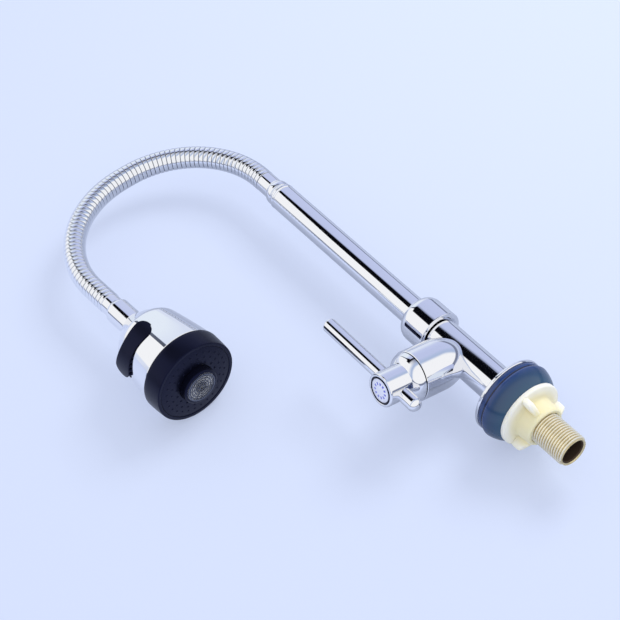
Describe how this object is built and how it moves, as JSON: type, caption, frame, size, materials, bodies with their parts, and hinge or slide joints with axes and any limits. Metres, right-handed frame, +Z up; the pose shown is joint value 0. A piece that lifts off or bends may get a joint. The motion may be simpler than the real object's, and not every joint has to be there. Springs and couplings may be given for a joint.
{
  "type": "flexible neck sink tap",
  "caption": "Single-lever deck tap with a swivelling riser, a bendable ribbed gooseneck and a two-way spray head switched by a rocker.",
  "frame": {"origin": "centre of the deck gasket's underside, where the tap sits on the deck", "axes": "+Z up along the riser, +X towards the spray head, so the neck bends about +Y"},
  "size_m": [0.1934, 0.059, 0.3871],
  "materials": {
    "polished_chrome": "mirror-polished chrome plate on brass",
    "chromed_hose": "chromed strip-wound steel hose",
    "yellow_brass": "turned and threaded brass, bright",
    "blue_gasket": "glossy deep blue rubber",
    "natural_nylon": "natural nylon, slightly translucent",
    "black_moulding": "black ABS with a soft sheen",
    "grey_moulding": "grey acetal",
    "white_acetal": "white acetal",
    "index_enamel": "printed and doming-lacquered disc",
    "stainless_steel": "stainless steel",
    "stainless_mesh": "woven stainless gauze",
    "seal_rubber": "black nitrile rubber",
    "valve_ceramic": "lapped alumina",
    "water_hose": "soft PVC water hose"
  },
  "bodies": {
    "root": {"tap_body": "polished_chrome", "inlet_shank": "yellow_brass", "deck_gasket": "blue_gasket", "valve_seal": "seal_rubber", "valve_disc_fixed": "valve_ceramic", "headwork_body": "yellow_brass", "headwork_nut": "yellow_brass", "swivel_nut": "polished_chrome", "swivel_washer": "white_acetal"},
    "backnut": {"backnut": "natural_nylon"},
    "handle": {"valve_disc_moving": "valve_ceramic", "valve_spindle": "yellow_brass", "spindle_oring": "seal_rubber", "handle_hub": "polished_chrome", "lever_rod": "polished_chrome", "handle_grub_screw": "stainless_steel", "index_bezel": "black_moulding", "index_disc": "index_enamel"},
    "spout": {"riser_foot": "yellow_brass", "riser_oring_lower": "seal_rubber", "riser_oring_upper": "seal_rubber", "riser_tube": "polished_chrome", "riser_collar": "polished_chrome", "neck_ferrule_lower": "polished_chrome", "neck_hose_1": "chromed_hose", "neck_liner_1": "water_hose"},
    "neck_2": {"neck_hose_2": "chromed_hose", "neck_liner_2": "water_hose"},
    "neck_3": {"neck_hose_3": "chromed_hose", "neck_liner_3": "water_hose"},
    "neck_4": {"neck_hose_4": "chromed_hose", "neck_liner_4": "water_hose"},
    "neck_5": {"neck_hose_5": "chromed_hose", "neck_liner_5": "water_hose"},
    "neck_end": {"neck_hose_6": "chromed_hose", "neck_liner_6": "water_hose", "neck_ferrule_upper": "polished_chrome"},
    "head": {"head_coupling": "polished_chrome", "head_washer": "seal_rubber", "bell_shell": "polished_chrome", "diverter_housing": "grey_moulding", "rocker_pin": "stainless_steel", "face_ring": "black_moulding", "nozzle_plate": "black_moulding", "aerator_housing": "black_moulding", "aerator_insert": "white_acetal", "aerator_mesh": "stainless_mesh"},
    "rocker": {"diverter_rocker": "black_moulding"},
    "spool": {"diverter_spool": "white_acetal", "spool_oring_left": "seal_rubber", "spool_oring_right": "seal_rubber"}
  },
  "joints": [
    {"name": "backnut_run", "type": "slide", "parent": "root", "child": "backnut", "axis": [0, 0, -1], "range_m": [0, 0.024]},
    {"name": "handle_turn", "type": "hinge", "parent": "root", "child": "handle", "pos_m": [0, 0, 0.0616], "axis": [0.9699, 0.2436, 0], "range_deg": [0, 90]},
    {"name": "spout_swivel", "type": "hinge", "parent": "root", "child": "spout", "pos_m": [0, 0, 0.0935], "axis": [0, 0, 1], "continuous": true},
    {"name": "neck_bend_1", "type": "hinge", "parent": "spout", "child": "neck_2", "pos_m": [0.00945, 0, 0.30708], "axis": [0, 1, 0], "range_deg": [-24, 3]},
    {"name": "neck_bend_2", "type": "hinge", "parent": "neck_2", "child": "neck_3", "pos_m": [0.03517, 0, 0.33205], "axis": [0, 1, 0], "range_deg": [-24, 3]},
    {"name": "neck_bend_3", "type": "hinge", "parent": "neck_3", "child": "neck_4", "pos_m": [0.07458, 0, 0.34047], "axis": [0, 1, 0], "range_deg": [-24, 3]},
    {"name": "neck_bend_4", "type": "hinge", "parent": "neck_4", "child": "neck_5", "pos_m": [0.10992, 0, 0.32967], "axis": [0, 1, 0], "range_deg": [-24, 3]},
    {"name": "neck_bend_5", "type": "hinge", "parent": "neck_5", "child": "neck_end", "pos_m": [0.13487, 0, 0.30241], "axis": [0, 1, 0], "range_deg": [-24, 3]},
    {"name": "head_turn", "type": "hinge", "parent": "neck_end", "child": "head", "pos_m": [0.14133, 0, 0.24698], "axis": [-0.0593, 0, -0.9982], "continuous": true},
    {"name": "diverter_tip", "type": "hinge", "parent": "head", "child": "rocker", "pos_m": [0.15617, 0.01247, 0.2461], "axis": [-0.0593, 0, -0.9982], "range_deg": [0, 12]},
    {"name": "spool_shift", "type": "slide", "parent": "head", "child": "spool", "axis": [-0.6417, 0.766, 0.0381], "range_m": [0, 0.00168]}
  ],
  "couplings": [
    {"joint": "spool_shift", "follows": "diverter_tip", "m_per_rad": 0.008}
  ]
}
